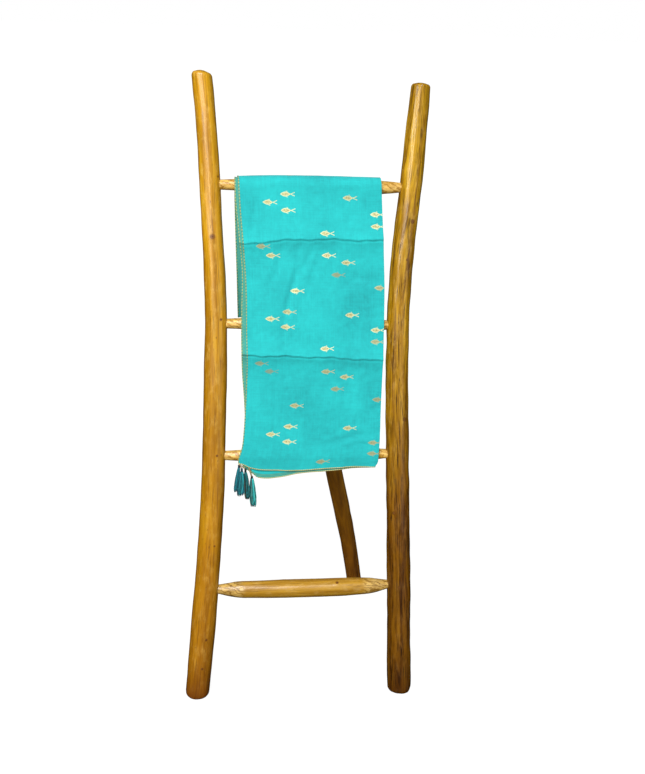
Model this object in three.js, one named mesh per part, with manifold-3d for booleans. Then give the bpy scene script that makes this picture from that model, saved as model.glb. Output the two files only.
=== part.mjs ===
// A three-legged ladder of peeled branches, with a folded stole hung over its top rung.
// Millimetres, +Z up. The ladder leans back about the X axis and its rear leg props it from behind.
import * as THREE from "three";
import * as BufferGeometryUtils from "three/addons/utils/BufferGeometryUtils.js";
import Module from "manifold-3d";

const wasm = await Module();
wasm.setup();

// ---------- driving dimensions ----------
const lean = THREE.MathUtils.degToRad(10); // posts from the vertical
const legSpread = THREE.MathUtils.degToRad(18); // rear leg from the vertical
const gap = 0.3; // between pieces that touch
const tenonPastCentre = 12; // how far a rung's tip goes past the middle of its post
const tenonProud = 3; // plain length of a tenon outside its post
const tenonRadius = 12;
const postLength = 1500;
const floorHeight = 18; // where the floor crosses the drawing; the other heights are drawn from zero
const reach = 60; // extra length below zero, sawn off level with the floor
const shoulder = { length: 7, waist: 0.8, rise: 0.25 }; // rounding over at a branch's ends
const ground = { size: 1600, depth: 300 };
const cutOverrun = 20; // how far a hole is cut past the surface it opens in
const spineSamples = 600;
const sidesOf = { post: 18, branch: 16, mortise: 24, peg: 10, pegHole: 12, tassel: 10 };

// [height up the post, place across the ladder, radius]
const leftPostStations = [
  [-reach, -259, 30],
  [180, -237, 30],
  [470, -215, 28.5],
  [760, -205, 27.5],
  [980, -202.5, 25.5],
  [1200, -212, 24],
  [1400, -223, 23],
  [postLength, -232, 23.5],
];
const rightPostStations = [
  [-reach, 257, 30.5],
  [290, 244, 29.5],
  [550, 234, 28.5],
  [880, 222, 27.5],
  [1070, 226, 26.5],
  [1290, 244, 25],
  [postLength - 12, 257, 22.5],
];

// Each rung: height at its left and right ends, sag in the middle, and girth as [place across, radius].
const rungs = {
  top_rung: {
    left: 1256, right: 1256, sag: 0, girth: [[-170, 12.5], [-60, 16], [100, 16.5], [186, 15.5]],
  },
  second_rung: {
    left: 942, right: 940, sag: 0, girth: [[-150, 13.5], [-50, 14], [50, 14], [160, 13.5]],
  },
  third_rung: {
    left: 627, right: 629, sag: 0, girth: [[-158, 14], [-50, 15], [80, 15], [170, 14]],
  },
  bottom_rung: {
    left: 291, right: 296, sag: 4, girth: [[-152, 20], [-40, 22.5], [110, 22.5], [182, 19]],
  },
};
const pegRadius = 3.5;
const pegProud = 2; // a peg's head, behind the post
const pegPastCentre = 8; // a peg's tip, in front of the middle of the post
const mortisePlay = 0.5; // all round a tenon
const mortiseReach = 90; // long enough to come out of any post

// The rear leg hangs from the second rung: [place across, distance down from its bore, radius].
const legAcross = 4; // the bore's place along the second rung
const legStations = [
  [-2, -30, 14],
  [0, -18, 19.5],
  [4, 0, 21.5],
  [103, 480, 21],
  [158, 733, 21],
  [187, 900, 20.5],
  [212, 1040, 20.5],
];
const boreRadius = 15.6;
const boreHalfLength = 60; // comes out on both sides of the leg's head

// The stole, folded in four and hung over the top rung.
const stoleLeft = -148;
const stoleWidth = 326;
const stoleThickness = 5;
const stoleFrontHem = 592; // height of the hem
const stoleBackFold = 922; // height of the back flap's folded edge
const rungClearance = 0.6; // cloth to rung
const legHeadClearance = 27.5; // cloth to the axis of the leg's bore
const edgingWidth = 2.5;

// Tassels at the front left corner: [place across, height of the top].
const tasselTops = [[-156.5, 602], [-144.5, 587], [-133, 586], [-119, 575]];
const tasselBindingLength = 12;
const tasselSkirtLength = 50;
const tasselBindingRadius = 2.6;
const tasselKnot = { radius: 1.2, length: 3 }; // the binding narrows to the cord it hangs by
const tasselSkirtRadius = 4.8;
const tasselWaist = 12; // the skirt has nearly its full width this far down
const tasselForward = 2.6; // tassels hang this far in front of the cloth's middle, clear of the third rung

// ---------- finishes ----------
const finish = (color, roughness) => new THREE.MeshStandardMaterial({ color, roughness, metalness: 0 });
const goldenWood = finish(0xc98f35, 0.35);
const brownWood = finish(0x8c5f17, 0.35);
const darkWood = finish(0x4a2c10, 0.4);
const pegWood = finish(0xa87a3c, 0.5);
const turquoiseCotton = finish(0x33cccc, 0.85);
const tealThread = finish(0x2a96a0, 0.9);
const goldBraid = new THREE.MeshStandardMaterial({ color: 0xc8b070, roughness: 0.45, metalness: 0.7 });

// ---------- solids ----------
function toSolid(geometry) {
  const bare = geometry.clone();
  bare.deleteAttribute("normal");
  bare.deleteAttribute("uv");
  const merged = BufferGeometryUtils.mergeVertices(bare, 1e-3);
  const corners = merged.index.array;
  const kept = [];
  for (let i = 0; i < corners.length; i += 3) {
    const [a, b, c] = corners.slice(i, i + 3);
    if (a !== b && b !== c && c !== a) kept.push(a, b, c);
  }
  const vertProperties = new Float32Array(merged.attributes.position.array);
  return new wasm.Manifold(new wasm.Mesh({ numProp: 3, vertProperties, triVerts: new Uint32Array(kept) }));
}

function toGeometry(solid) {
  const mesh = solid.getMesh();
  const geometry = new THREE.BufferGeometry();
  geometry.setAttribute("position", new THREE.BufferAttribute(mesh.vertProperties, 3));
  geometry.setIndex(new THREE.BufferAttribute(mesh.triVerts, 1));
  return geometry;
}

const cut = (geometry, tools) =>
  toGeometry(tools.reduce((solid, tool) => solid.subtract(toSolid(tool)), toSolid(geometry)));

// A round bar with softened ends, turned about Y and then bent and thickened along its stations.
// Each station is a place (Vector3) and a radius; side is any direction across the branch.
function branch(stations, side, sides, ringsPerSpan) {
  const spans = stations.length - 1;
  const spine = new THREE.CatmullRomCurve3(stations.map(({ place }) => place));
  const radiusAt = (share) => {
    const span = Math.min(Math.floor(share * spans), spans - 1);
    const weight = THREE.MathUtils.smoothstep(share * spans - span, 0, 1);
    return THREE.MathUtils.lerp(stations[span].radius, stations[span + 1].radius, weight);
  };
  const spanLength = (from, to) => stations[from].place.distanceTo(stations[to].place);
  const shareRounded = (from, to) => shoulder.length / spanLength(from, to) / spans;
  const first = shareRounded(0, 1);
  const last = shareRounded(spans, spans - 1);
  const profile = [[0, 0], [shoulder.waist, first * shoulder.rise], [1, first]];
  for (let i = 1; i < spans * ringsPerSpan; i++) {
    profile.push([1, i / spans / ringsPerSpan]);
  }
  profile.push([1, 1 - last], [shoulder.waist, 1 - last * shoulder.rise], [0, 1]);
  const geometry = new THREE.LatheGeometry(profile.map((point) => new THREE.Vector2(...point)), sides);
  const position = geometry.attributes.position;
  for (let i = 0; i < position.count; i++) {
    const share = position.getY(i);
    const tangent = spine.getTangent(share);
    const across = new THREE.Vector3().crossVectors(tangent, side).normalize();
    const outward = new THREE.Vector3().crossVectors(across, tangent);
    const radius = radiusAt(share);
    const point = spine.getPoint(share);
    point.addScaledVector(across, position.getX(i) * radius);
    point.addScaledVector(outward, position.getZ(i) * radius);
    position.setXYZ(i, point.x, point.y, point.z);
  }
  return geometry;
}

// A plain round bar of one radius between two points.
function bar(start, end, radius, sides) {
  const axis = new THREE.Vector3().subVectors(end, start);
  const geometry = new THREE.CylinderGeometry(radius, radius, axis.length(), sides);
  const up = new THREE.Vector3(0, 1, 0);
  geometry.applyQuaternion(new THREE.Quaternion().setFromUnitVectors(up, axis.clone().normalize()));
  return geometry.translate(...start.clone().add(end).multiplyScalar(0.5).toArray());
}

// The ground as a block with its top at the floor's height.
function groundBlock() {
  const block = new THREE.BoxGeometry(ground.size, ground.size, ground.depth);
  return block.translate(0, 0, floorHeight - ground.depth / 2);
}

// ---------- ladder, drawn flat in its own plane: X across, Z up the posts, Y out of its back ----------
const back = new THREE.Vector3(0, 1, 0);
const postShape = (stations) => stations.map(([up, across, radius]) => (
  { place: new THREE.Vector3(across, 0, up), radius }));

// The post's centre and radius at one height.
function postAt(stations, up) {
  const above = stations.findIndex(([height]) => height > up);
  const [low, high] = [stations[above - 1], stations[above]];
  const spine = new THREE.CatmullRomCurve3(postShape(stations).map(({ place }) => place));
  const near = (a, b) => (Math.abs(b.z - up) < Math.abs(a.z - up) ? b : a);
  const centre = spine.getPoints(spineSamples).reduce(near);
  return { across: centre.x, radius: THREE.MathUtils.mapLinear(up, low[0], high[0], low[2], high[2]) };
}

function rungShape({ left, right, sag, girth }) {
  const leftPost = postAt(leftPostStations, left);
  const rightPost = postAt(rightPostStations, right);
  const start = new THREE.Vector3(leftPost.across - tenonPastCentre, 0, left);
  const end = new THREE.Vector3(rightPost.across + tenonPastCentre, 0, right);
  const middle = girth.map(([across, radius]) => {
    const share = (across - start.x) / (end.x - start.x);
    const place = new THREE.Vector3().lerpVectors(start, end, share);
    place.z -= sag * Math.sin(Math.PI * share);
    return { place, radius };
  });
  const mouth = (from, to, post) => {
    const length = tenonPastCentre + post.radius + tenonProud;
    return from.clone().add(to.clone().sub(from).setLength(length));
  };
  return {
    start,
    end,
    leftRadius: leftPost.radius,
    rightRadius: rightPost.radius,
    stations: [
      { place: start, radius: tenonRadius },
      { place: mouth(start, end, leftPost), radius: tenonRadius },
      ...middle,
      { place: mouth(end, start, rightPost), radius: tenonRadius },
      { place: end, radius: tenonRadius },
    ],
  };
}

const ladder = new THREE.Group();
ladder.rotation.x = -lean;
const leftMortises = [];
const rightMortises = [];
const rungPegs = [];

for (const [name, spec] of Object.entries(rungs)) {
  const { start, end, leftRadius, rightRadius, stations } = rungShape(spec);
  const along = end.clone().sub(start).normalize();
  const mortise = (tip, inward) => bar(
    tip.clone().addScaledVector(along, -inward * gap),
    tip.clone().addScaledVector(along, inward * mortiseReach),
    tenonRadius + mortisePlay,
    sidesOf.mortise,
  );
  leftMortises.push(mortise(start, 1));
  rightMortises.push(mortise(end, -1));
  const holes = [];
  for (const [side, tip, inward, postRadius] of [
    ["left", start, 1, leftRadius],
    ["right", end, -1, rightRadius],
  ]) {
    // a peg driven in from behind, through the middle of the tenon
    const middle = tip.clone().addScaledVector(along, inward * tenonPastCentre);
    const head = middle.clone().addScaledVector(back, postRadius + pegProud);
    const foot = middle.clone().addScaledVector(back, -pegPastCentre);
    rungPegs.push({ name: `${name}_${side}_peg`, head, foot });
    const holeStart = foot.clone().addScaledVector(back, -gap);
    const holeEnd = head.clone().addScaledVector(back, cutOverrun);
    const hole = bar(holeEnd, holeStart, pegRadius + gap, sidesOf.pegHole);
    holes.push(hole);
    (side === "left" ? leftMortises : rightMortises).push(hole);
  }
  const shape = branch(stations, back, sidesOf.branch, 2);
  const mesh = new THREE.Mesh(cut(shape, holes), goldenWood);
  mesh.name = name;
  ladder.add(mesh);
}

for (const [name, stations, mortises, material] of [
  ["left_post", leftPostStations, leftMortises, goldenWood],
  ["right_post", rightPostStations, rightMortises, brownWood],
]) {
  const shape = branch(postShape(stations), back, sidesOf.post, 4);
  const mesh = new THREE.Mesh(cut(shape, [groundBlock().rotateX(lean), ...mortises]), material);
  mesh.name = name;
  ladder.add(mesh);
}

for (const { name, head, foot } of rungPegs) {
  const mesh = new THREE.Mesh(bar(foot, head, pegRadius, sidesOf.peg), pegWood);
  mesh.name = name;
  ladder.add(mesh);
}

// ---------- rear leg, drawn hanging straight down from its bore ----------
const rungCentre = ({ left, right }) => (
  new THREE.Vector2(Math.sin(lean), Math.cos(lean)).multiplyScalar((left + right) / 2));
const pivot = new THREE.Vector3(legAcross, ...rungCentre(rungs.second_rung));
const legGroup = new THREE.Group();
legGroup.position.copy(pivot);
legGroup.rotation.x = legSpread;
const legShape = branch(legStations.map(([across, down, radius]) => (
  { place: new THREE.Vector3(across - legAcross, 0, -down), radius })), back, sidesOf.branch, 4);
const boreEnd = new THREE.Vector3(boreHalfLength, 0, 0);
const legBore = bar(boreEnd.clone().negate(), boreEnd, boreRadius, sidesOf.mortise);
const legGround = groundBlock().translate(0, 0, -pivot.z).rotateX(-legSpread);
const rearLeg = new THREE.Mesh(cut(legShape, [legBore, legGround]), darkWood);
rearLeg.name = "rear_leg";
legGroup.add(rearLeg);

// ---------- stole: its outline passes over the top rung, the leg's head and the third rung ----------
const thickest = ({ girth }) => Math.max(...girth.map(([, radius]) => radius));
const supports = [
  { centre: rungCentre(rungs.top_rung), radius: thickest(rungs.top_rung) + rungClearance },
  { centre: new THREE.Vector2(pivot.y, pivot.z), radius: legHeadClearance },
  { centre: rungCentre(rungs.third_rung), radius: thickest(rungs.third_rung) + rungClearance },
];

// Where a taut line over one support and the next leaves the circle, as an angle about its centre.
function leavingAngle(from, to) {
  const way = to.centre.clone().sub(from.centre);
  return 2 * Math.PI + Math.atan2(way.y, way.x) - Math.acos((from.radius - to.radius) / way.length());
}

// The taut line over the supports, kept a given distance off them, from the back flap to the front hem.
function drapeLine(off) {
  const turns = [0, leavingAngle(supports[0], supports[1]), leavingAngle(supports[1], supports[2]), Math.PI];
  const points = [new THREE.Vector2(supports[0].centre.x + supports[0].radius + off, stoleBackFold)];
  supports.forEach(({ centre, radius }, index) => {
    const steps = index === 0 ? 10 : 2;
    for (let i = 0; i <= steps; i++) {
      const angle = THREE.MathUtils.lerp(turns[index], turns[index + 1], i / steps);
      const outward = new THREE.Vector2(Math.cos(angle), Math.sin(angle));
      points.push(outward.multiplyScalar(radius + off).add(centre));
    }
  });
  points.push(new THREE.Vector2(supports[2].centre.x - supports[2].radius - off, stoleFrontHem));
  return points;
}

// Extrudes an outline drawn in the YZ plane along +X.
function extrudeAcross(points, from, width) {
  const geometry = new THREE.ExtrudeGeometry(new THREE.Shape(points), { depth: width, bevelEnabled: false });
  return geometry.rotateX(Math.PI / 2).rotateZ(Math.PI / 2).translate(from, 0, 0);
}

const stoleOutline = [...drapeLine(stoleThickness), ...drapeLine(0).reverse()];
const hemOutline = [
  [-stoleThickness, -gap], [0, -gap], [0, -gap - edgingWidth], [-stoleThickness, -gap - edgingWidth],
].map(([y, z]) => new THREE.Vector2(supports[2].centre.x - supports[2].radius + y, stoleFrontHem + z));
const drape = new THREE.Group();
for (const [name, outline, from, width, material] of [
  ["stole_cloth", stoleOutline, stoleLeft, stoleWidth, turquoiseCotton],
  ["side_edging", stoleOutline, stoleLeft - gap - edgingWidth, edgingWidth, goldBraid],
  ["hem_edging", hemOutline, stoleLeft, stoleWidth, goldBraid],
]) {
  const mesh = new THREE.Mesh(extrudeAcross(outline, from, width), material);
  mesh.name = name;
  drape.add(mesh);
}

// ---------- tassels ----------
const tasselDepth = supports[2].centre.x - supports[2].radius - stoleThickness / 2 - tasselForward;
tasselTops.forEach(([across, top], index) => {
  const skirtTop = top - tasselBindingLength - gap;
  const binding = [
    [0, -tasselBindingLength], [tasselBindingRadius, -tasselBindingLength],
    [tasselBindingRadius, -tasselKnot.length], [tasselKnot.radius, 0], [0, 0],
  ];
  const skirt = [
    [0, -tasselSkirtLength], [tasselSkirtRadius, -tasselSkirtLength],
    [tasselSkirtRadius * 0.9, -tasselWaist], [tasselBindingRadius * 0.8, 0], [0, 0],
  ];
  for (const [kind, outline, height, material] of [
    ["binding", binding, top, goldBraid],
    ["skirt", skirt, skirtTop, tealThread],
  ]) {
    const profile = outline.map((point) => new THREE.Vector2(...point));
    const geometry = new THREE.LatheGeometry(profile, sidesOf.tassel);
    const mesh = new THREE.Mesh(geometry.rotateX(Math.PI / 2), material);
    mesh.name = `tassel_${index + 1}_${kind}`;
    mesh.position.set(across, tasselDepth, height);
    drape.add(mesh);
  }
});

// ---------- the whole part, standing on the floor with its footprint centred on the origin ----------
const part = new THREE.Group();
part.add(ladder, legGroup, drape);
part.updateMatrixWorld(true);
const box = new THREE.Box3().setFromObject(part, true);
part.position.set(-(box.min.x + box.max.x) / 2, -(box.min.y + box.max.y) / 2, -box.min.z);

export default part;
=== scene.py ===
import math
import random

import bpy
import numpy as np
from mathutils import Matrix, Vector, noise


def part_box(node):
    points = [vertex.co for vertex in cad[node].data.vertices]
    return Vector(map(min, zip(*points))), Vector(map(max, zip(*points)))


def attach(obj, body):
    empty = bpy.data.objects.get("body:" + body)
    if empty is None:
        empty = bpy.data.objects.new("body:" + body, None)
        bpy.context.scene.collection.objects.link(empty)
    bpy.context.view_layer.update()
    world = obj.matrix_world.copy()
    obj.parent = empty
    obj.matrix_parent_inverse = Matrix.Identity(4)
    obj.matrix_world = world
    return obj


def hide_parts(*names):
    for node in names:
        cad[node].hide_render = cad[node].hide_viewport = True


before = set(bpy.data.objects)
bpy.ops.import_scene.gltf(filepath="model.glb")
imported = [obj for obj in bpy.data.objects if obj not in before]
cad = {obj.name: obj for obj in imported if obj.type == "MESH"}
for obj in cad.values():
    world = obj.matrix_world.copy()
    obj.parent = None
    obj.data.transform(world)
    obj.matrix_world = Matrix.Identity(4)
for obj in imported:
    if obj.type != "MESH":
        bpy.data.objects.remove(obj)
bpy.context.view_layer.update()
scene = bpy.context.scene
print("frame loaded:", len(cad), "nodes")

# Studio: a camera, soft light and a pale floor.

shot = dict(lens=46.5, pitch=21.07, turn=5.7, roll=2.0, place=(-0.1728, -2.2774, 1.6096))
studio = dict(
    ambient=0.15, mirrored=0.008,
    sides=dict(front=0.96, back=1.20, focus=3.0),  # soft light from before and behind, less from the sides
    key=dict(turn=-17, height=52, power=2.2, spread=9, tint=(1.0, 0.985, 0.95)),
    lamps=[  # name, place, width, height, power, tint
        ("streakLamp", (-1.10, -2.00, 1.95), 0.30, 1.4, 29.0, (1.0, 0.93, 0.80)),
        ("fillLamp", (1.8, -1.9, 0.8), 1.6, 1.6, 6.0, (1.0, 0.98, 0.94)),
    ],
    floorTone=0.11, floorMirrored=0.002, floorLift=0.97, floorRadius=60.0,
)


def makeCamera(spec):
    pitch, turn, roll = (math.radians(spec[k]) for k in ("pitch", "turn", "roll"))
    ahead = Vector((math.sin(turn) * math.cos(pitch), math.cos(turn) * math.cos(pitch), -math.sin(pitch)))
    right = Vector((math.cos(turn), -math.sin(turn), 0))
    up = right.cross(ahead)
    tiltedRight = right * math.cos(roll) + up * math.sin(roll)
    tiltedUp = up * math.cos(roll) - right * math.sin(roll)
    data = bpy.data.cameras.new("camera")
    data.lens = spec["lens"]
    data.sensor_width = 36
    data.clip_end = 60
    camera = bpy.data.objects.new("camera", data)
    scene.collection.objects.link(camera)
    camera.matrix_world = Matrix((
        (tiltedRight.x, tiltedUp.x, -ahead.x, spec["place"][0]),
        (tiltedRight.y, tiltedUp.y, -ahead.y, spec["place"][1]),
        (tiltedRight.z, tiltedUp.z, -ahead.z, spec["place"][2]),
        (0, 0, 0, 1),
    ))
    scene.camera = camera


def makeLamp(name, place, width, height, power, tint):
    data = bpy.data.lights.new(name, "AREA")
    data.shape = "RECTANGLE"
    data.size = width
    data.size_y = height
    data.energy = power
    data.color = tint
    lamp = bpy.data.objects.new(name, data)
    lamp.location = place
    away = Vector((0, 0, place[2] * 0.8)) - Vector(place)
    lamp.rotation_euler = away.to_track_quat("-Z", "Y").to_euler()
    scene.collection.objects.link(lamp)


def put(tree, kind, inputs=None, **settings):
    node = tree.nodes.new("ShaderNode" + kind)
    for key, value in settings.items():
        setattr(node, key, value)
    for key, value in (inputs or {}).items():
        if isinstance(value, bpy.types.NodeSocket):
            tree.links.new(value, node.inputs[key])
        else:
            node.inputs[key].default_value = value
    return node


def newMaterial(name, **surface):
    material = bpy.data.materials.new(name)
    material.use_nodes = True
    tree = material.node_tree
    shader = tree.nodes["Principled BSDF"]
    for key, value in surface.items():
        shader.inputs[key].default_value = value
    return material, tree, shader


# Colours along a ramp: (place, (r, g, b)).
def ramp(tree, factor, stops, interpolation="LINEAR"):
    node = put(tree, "ValToRGB", {"Fac": factor})
    node.color_ramp.interpolation = interpolation
    points = node.color_ramp.elements
    while len(points) < len(stops):
        points.new(0.5)
    for point, (place, colour) in zip(points, stops):
        point.position = place
        point.color = (*colour, 1)
    return node.outputs["Color"]


def calc(tree, operation, a, b=0.0, c=0.0, clamp=False):
    node = put(tree, "Math", {0: a, 1: b, 2: c}, operation=operation, use_clamp=clamp)
    return node.outputs[0]


# How far a value is above a level, times a gain, kept between 0 and 1.
def above(tree, value, level, gain):
    return calc(tree, "MULTIPLY", calc(tree, "SUBTRACT", value, level, clamp=True), gain, clamp=True)


def mixColour(tree, factor, a, b, blend="MIX"):
    node = put(tree, "Mix", None, data_type="RGBA", blend_type=blend)
    for index, value in ((0, factor), (6, a), (7, b)):
        if isinstance(value, bpy.types.NodeSocket):
            tree.links.new(value, node.inputs[index])
        else:
            node.inputs[index].default_value = value if index == 0 else (*value, 1)
    return node.outputs[2]


def stretch(tree, vector, scale):
    node = put(tree, "VectorMath", {0: vector, 1: scale}, operation="MULTIPLY")
    return node.outputs[0]


def noiseOf(tree, vector, scale, detail=3.0, rough=0.5, distortion=0.0):
    settings = {"Vector": vector, "Scale": scale, "Detail": detail, "Roughness": rough}
    return put(tree, "TexNoise", dict(settings, Distortion=distortion)).outputs["Fac"]


def attribute(tree, name, output="Vector"):
    return put(tree, "Attribute", None, attribute_name=name).outputs[output]


# A pale floor, evened out by a little light of its own.
def makeFloor(spec):
    sides = 64
    ring = [(spec["floorRadius"] * math.cos(2 * math.pi * i / sides),
             spec["floorRadius"] * math.sin(2 * math.pi * i / sides), 0) for i in range(sides)]
    mesh = bpy.data.meshes.new("floor")
    mesh.from_pydata(ring, [], [list(range(sides))])
    floor = bpy.data.objects.new("floor", mesh)
    scene.collection.objects.link(floor)
    material, tree, shader = newMaterial("paleFloor", Roughness=0.9)
    shader.inputs["Specular IOR Level"].default_value = 0.0
    shader.inputs["Emission Color"].default_value = (1, 1, 1, 1)
    rays = tree.nodes.new("ShaderNodeLightPath").outputs
    glow = calc(tree, "MULTIPLY", rays["Is Camera Ray"], spec["floorLift"])
    tree.links.new(glow, shader.inputs["Emission Strength"])
    darker = spec["floorMirrored"] - spec["floorTone"]
    tone = calc(tree, "MULTIPLY_ADD", rays["Is Glossy Ray"], darker, spec["floorTone"])
    tree.links.new(tone, shader.inputs["Base Color"])
    mesh.materials.append(material)


def makeStudio(spec):
    world = bpy.data.worlds.new("studio")
    world.use_nodes = True
    tree = world.node_tree
    background = tree.nodes["Background"]
    background.inputs["Color"].default_value = (1, 1, 1, 1)
    rays = tree.nodes.new("ShaderNodeLightPath").outputs
    generated = put(tree, "TexCoord").outputs["Generated"]
    way = put(tree, "SeparateXYZ", {"Vector": generated}).outputs[1]
    soft = spec["ambient"]
    for sign, side in ((-1.0, "front"), (1.0, "back")):
        lobe = calc(tree, "POWER", calc(tree, "MULTIPLY", way, sign, clamp=True), spec["sides"]["focus"])
        soft = calc(tree, "MULTIPLY_ADD", lobe, spec["sides"][side], soft)
    strength = calc(tree, "MULTIPLY_ADD", rays["Is Glossy Ray"],
                     calc(tree, "SUBTRACT", spec["mirrored"], soft), soft)
    toWhite = calc(tree, "SUBTRACT", 1.0, strength)
    strength = calc(tree, "MULTIPLY_ADD", rays["Is Camera Ray"], toWhite, strength)
    tree.links.new(strength, background.inputs["Strength"])
    scene.world = world
    key = spec["key"]
    data = bpy.data.lights.new("keyLight", "SUN")
    data.energy = key["power"]
    data.angle = math.radians(key["spread"])
    data.color = key["tint"]
    light = bpy.data.objects.new("keyLight", data)
    turn, height = math.radians(key["turn"]), math.radians(key["height"])
    level = math.cos(height)
    toLight = Vector((math.sin(turn) * level, -math.cos(turn) * level, math.sin(height)))
    light.rotation_euler = (-toLight).to_track_quat("-Z", "Y").to_euler()
    scene.collection.objects.link(light)
    for lamp in spec["lamps"]:
        makeLamp(*lamp)
    makeFloor(spec)
    scene.view_settings.view_transform = "Standard"


makeCamera(shot)
makeStudio(studio)
print("studio ready")


# A mesh object from points and faces; extra holds {name: (domain, values)} to be read by materials.
def makePiece(name, points, faces, material, extra=None):
    mesh = bpy.data.meshes.new(name)
    mesh.from_pydata([tuple(p) for p in points], [], [tuple(f) for f in faces])
    mesh.validate()
    for key, (domain, values) in (extra or {}).items():
        values = np.asarray(values, np.float32)
        kind = "FLOAT" if values.ndim == 1 else "FLOAT_VECTOR"
        layer = mesh.attributes.new(key, kind, domain)
        layer.data.foreach_set("value" if kind == "FLOAT" else "vector", values.ravel())
    mesh.polygons.foreach_set("use_smooth", [True] * len(mesh.polygons))
    mesh.materials.append(material)
    piece = bpy.data.objects.new(name, mesh)
    scene.collection.objects.link(piece)
    return piece


# Faces of a grid of rows by columns of points; closed joins the last column to the first.
def gridFaces(rows, columns, closed):
    faces = []
    for i in range(rows - 1):
        for j in range(columns if closed else columns - 1):
            k = (j + 1) % columns
            faces.append((i * columns + j, i * columns + k, (i + 1) * columns + k, (i + 1) * columns + j))
    return faces


# The two faces that close a tube at its first and last ring.
def endFaces(count, sides):
    return [tuple(range(sides))[::-1], tuple(range((count - 1) * sides, count * sides))]


# Values between known ones, on one smooth line through all of them.
def smoothLine(at, knots, values):
    knots = np.asarray(knots, float)
    values = np.asarray(values, float)
    flat = values.ndim == 1
    if flat:
        values = values[:, None]
    slopes = np.gradient(values, knots, axis=0)
    index = np.clip(np.searchsorted(knots, at) - 1, 0, len(knots) - 2)
    span = (knots[index + 1] - knots[index])[:, None]
    w = np.clip((np.asarray(at)[:, None] - knots[index][:, None]) / span, 0, 1)
    low, high = values[index], values[index + 1]
    result = ((2 * w**3 - 3 * w**2 + 1) * low + (w**3 - 2 * w**2 + w) * span * slopes[index]
              + (-2 * w**3 + 3 * w**2) * high + (w**3 - w**2) * span * slopes[index + 1])
    return result[:, 0] if flat else result


def unit(vectors):
    return vectors / np.linalg.norm(vectors, axis=-1, keepdims=True)


# Rings of points round a line of centres; radius holds one value for each ring and turn.
def ringsAlong(centres, radius, turns, side=(0.0, 1.0, 0.0)):
    tangent = unit(np.gradient(centres, axis=0))
    across = unit(np.cross(tangent, side))
    outward = np.cross(across, tangent)
    cosines, sines = np.cos(turns)[None, :, None], np.sin(turns)[None, :, None]
    ring = cosines * across[:, None, :] + sines * outward[:, None, :]
    return centres[:, None, :] + radius[..., None] * ring


# The section of a CAD node where it crosses a level on one axis: its lowest and highest corner.
def section(node, axis, level):
    mesh = cad[node].data
    co = np.empty(len(mesh.vertices) * 3)
    mesh.vertices.foreach_get("co", co)
    co = co.reshape(-1, 3)
    ends = np.empty(len(mesh.edges) * 2, int)
    mesh.edges.foreach_get("vertices", ends)
    a, b = co[ends[0::2]], co[ends[1::2]]
    crossing = (a[:, axis] - level) * (b[:, axis] - level) < 0
    a, b = a[crossing], b[crossing]
    share = ((level - a[:, axis]) / (b[:, axis] - a[:, axis]))[:, None]
    points = a + (b - a) * share
    return points.min(0), points.max(0)


# Centres and radii of a branch, read from its CAD node at several levels away from its joints.
def readBranch(node, axis, levels):
    centres, radii = [], []
    girthAxis = 0 if axis == 2 else 2
    for level in levels:
        low, high = section(node, axis, level)
        centre = (low + high) / 2
        centre[axis] = level
        centres.append(centre)
        radii.append((high[girthAxis] - low[girthAxis]) / 2)
    return np.array(centres), np.array(radii)


def middleOf(node):
    low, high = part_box(node)
    return (low + high) / 2


rungNames = ["top_rung", "second_rung", "third_rung", "bottom_rung"]


def clearLevels(low, high, count, joints, room=0.036):
    levels = np.linspace(low, high, count)
    return [z for z in levels if all(abs(z - joint) > room for joint in joints)]


def noiseAt(x, y, z, seed):
    return noise.noise(Vector((x + seed * 7.3, y - seed * 3.1, z + seed * 1.7)))


def wrapped(angle):
    return (angle + math.pi) % (2 * math.pi) - math.pi


# The peeled surface: slow swellings, hand-peeled lumps, fine ridges along the grain and healed knots.
def peeledSkin(along, turns, radius, spec):
    seed = spec["seed"]
    relief = np.zeros((len(along), len(turns)))
    for i, s in enumerate(along):
        for j, turn in enumerate(turns):
            x, y = math.cos(turn), math.sin(turn)
            swell = noiseAt(x * 0.7, y * 0.7, s * 7.0, seed) * spec["swell"]
            lump = noiseAt(x * 1.5, y * 1.5, s * 24.0, seed + 3) * spec["lump"]
            ridge = noiseAt(x * 3.4, y * 3.4, s * 5.0, seed + 5) * spec["ridge"]
            fine = noiseAt(x * 9.0, y * 9.0, s * 18.0, seed + 9) * spec["ridge"] * 0.35
            relief[i, j] = swell + lump + ridge + fine
    for place, turn, size in spec["knots"]:
        across = wrapped(turns[None, :] - math.radians(turn)) * np.mean(radius)
        distance = np.hypot((along[:, None] - place) * 0.8, across) / size
        relief += 0.17 * size * np.exp(-distance**2) - 0.13 * size * np.exp(-(distance * 2.4) ** 2)
    return relief


# For each face, its corners' offset from the nearest knot, in knot sizes.
def knotOffsets(faces, along, turns, girth, knots):
    faces = np.asarray(faces)
    s, turn, around = along[faces], turns[faces], girth[faces].mean(1)
    first = turn[:, :1]
    unrolled = wrapped(turn - first)
    nearest = np.full(len(faces), 1e9)
    offsets = np.full((len(faces), 4, 3), 9.0)
    for place, angle, size in knots:
        across = (wrapped(first - math.radians(angle)) + unrolled) * around[:, None]
        local = np.stack([(s - place) / size, across / size, np.zeros_like(s)], -1)
        distance = np.hypot(local[..., 0].mean(1), local[..., 1].mean(1))
        closer = distance < nearest
        nearest = np.where(closer, distance, nearest)
        offsets[closer] = local[closer]
    return offsets.reshape(-1, 3)


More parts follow.
